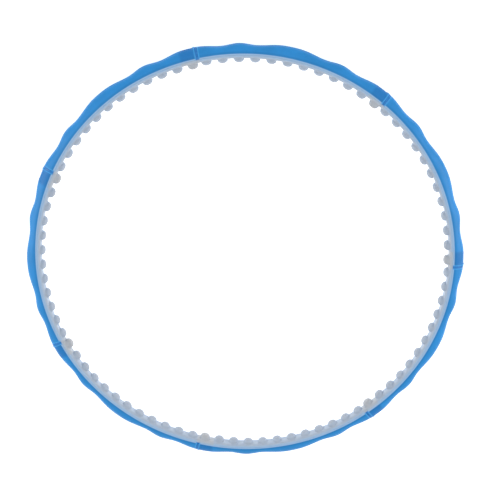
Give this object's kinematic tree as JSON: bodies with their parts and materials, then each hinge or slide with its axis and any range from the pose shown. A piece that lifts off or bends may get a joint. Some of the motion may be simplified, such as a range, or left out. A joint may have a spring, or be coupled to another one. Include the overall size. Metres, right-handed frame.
{
  "type": "sectional massage hoop",
  "caption": "Flat-lying hoop of plug-together curved sections: translucent wavy-backed shells, a soft nubbed massage band inside, and spring lock tongues at the joints.",
  "frame": {"origin": "centre of the hoop, half way up the tube, which lies flat", "axes": "+Z along the hoop's axis, +X through the middle of the seam between the last section's plug and the first section's socket"},
  "size_m": [0.981, 0.9757, 0.0296],
  "materials": {
    "shell": "translucent blue, gloss",
    "massage_band": "milky soft elastomer",
    "joint_plug": "natural moulded plastic",
    "end_collar": "blue, gloss",
    "lock_tongue": "dark blue moulded plastic"
  },
  "bodies": {
    "section_1": {"shell_1": "shell", "massage_band_1": "massage_band", "joint_plug_1": "joint_plug", "end_collar_1": "end_collar"},
    "lock_tongue_1": {"lock_tongue_1": "lock_tongue"},
    "section_2": {"shell_2": "shell", "massage_band_2": "massage_band", "joint_plug_2": "joint_plug", "end_collar_2": "end_collar"},
    "lock_tongue_2": {"lock_tongue_2": "lock_tongue"},
    "section_3": {"shell_3": "shell", "massage_band_3": "massage_band", "joint_plug_3": "joint_plug", "end_collar_3": "end_collar"},
    "lock_tongue_3": {"lock_tongue_3": "lock_tongue"},
    "section_4": {"shell_4": "shell", "massage_band_4": "massage_band", "joint_plug_4": "joint_plug", "end_collar_4": "end_collar"},
    "lock_tongue_4": {"lock_tongue_4": "lock_tongue"},
    "section_5": {"shell_5": "shell", "massage_band_5": "massage_band", "joint_plug_5": "joint_plug", "end_collar_5": "end_collar"},
    "lock_tongue_5": {"lock_tongue_5": "lock_tongue"},
    "section_6": {"shell_6": "shell", "massage_band_6": "massage_band", "joint_plug_6": "joint_plug", "end_collar_6": "end_collar"},
    "lock_tongue_6": {"lock_tongue_6": "lock_tongue"},
    "section_7": {"shell_7": "shell", "massage_band_7": "massage_band", "joint_plug_7": "joint_plug", "end_collar_7": "end_collar"},
    "lock_tongue_7": {"lock_tongue_7": "lock_tongue"}
  },
  "joints": [
    {"name": "pull_apart_2", "type": "slide", "parent": "section_1", "child": "section_2", "axis": [-0.7818, 0.6235, 0], "range_m": [0, 0.04], "deforming": ["lock_tongue_1", "lock_tongue_2", "lock_tongue_3", "lock_tongue_4", "lock_tongue_5", "lock_tongue_6", "lock_tongue_7"]},
    {"name": "pull_apart_3", "type": "slide", "parent": "section_1", "child": "section_3", "axis": [-0.9749, 0.2225, 0], "range_m": [0, 0.07208]},
    {"name": "pull_apart_4", "type": "slide", "parent": "section_1", "child": "section_4", "axis": [-0.9749, -0.2225, 0], "range_m": [0, 0.08988]},
    {"name": "pull_apart_5", "type": "slide", "parent": "section_1", "child": "section_5", "axis": [-0.7818, -0.6235, 0], "range_m": [0, 0.08988]},
    {"name": "pull_apart_6", "type": "slide", "parent": "section_1", "child": "section_6", "axis": [-0.4339, -0.901, 0], "range_m": [0, 0.07208]},
    {"name": "pull_apart_7", "type": "slide", "parent": "section_1", "child": "section_7", "axis": [0, -1, 0], "range_m": [0, 0.04]},
    {"name": "lock_press_1", "type": "hinge", "parent": "section_1", "child": "lock_tongue_1", "pos_m": [0.27701, 0.39291, 0], "axis": [0, 0, -1], "range_deg": [0, 10], "stiffness_Nm_per_rad": 0.4, "springref_deg": -4.58},
    {"name": "lock_press_2", "type": "hinge", "parent": "section_2", "child": "lock_tongue_2", "pos_m": [-0.13448, 0.46155, 0], "axis": [0, 0, -1], "range_deg": [0, 10], "stiffness_Nm_per_rad": 0.4, "springref_deg": -4.58},
    {"name": "lock_press_3", "type": "hinge", "parent": "section_3", "child": "lock_tongue_3", "pos_m": [-0.4447, 0.18263, 0], "axis": [0, 0, -1], "range_deg": [0, 10], "stiffness_Nm_per_rad": 0.4, "springref_deg": -4.58},
    {"name": "lock_press_4", "type": "hinge", "parent": "section_4", "child": "lock_tongue_4", "pos_m": [-0.42005, -0.23381, 0], "axis": [0, 0, -1], "range_deg": [0, 10], "stiffness_Nm_per_rad": 0.4, "springref_deg": -4.58},
    {"name": "lock_press_5", "type": "hinge", "parent": "section_5", "child": "lock_tongue_5", "pos_m": [-0.0791, -0.47419, 0], "axis": [0, 0, -1], "range_deg": [0, 10], "stiffness_Nm_per_rad": 0.4, "springref_deg": -4.58},
    {"name": "lock_press_6", "type": "hinge", "parent": "section_6", "child": "lock_tongue_6", "pos_m": [0.32142, -0.35749, 0], "axis": [0, 0, -1], "range_deg": [0, 10], "stiffness_Nm_per_rad": 0.4, "springref_deg": -4.58},
    {"name": "lock_press_7", "type": "hinge", "parent": "section_7", "child": "lock_tongue_7", "pos_m": [0.4799, 0.0284, 0], "axis": [0, 0, -1], "range_deg": [0, 10], "stiffness_Nm_per_rad": 0.4, "springref_deg": -4.58}
  ],
  "couplings": [
    {"joint": "pull_apart_3", "follows": "pull_apart_2", "ratio": 1.8019},
    {"joint": "pull_apart_4", "follows": "pull_apart_2", "ratio": 2.247},
    {"joint": "pull_apart_5", "follows": "pull_apart_2", "ratio": 2.247},
    {"joint": "pull_apart_6", "follows": "pull_apart_2", "ratio": 1.8019},
    {"joint": "pull_apart_7", "follows": "pull_apart_2", "ratio": 1}
  ]
}
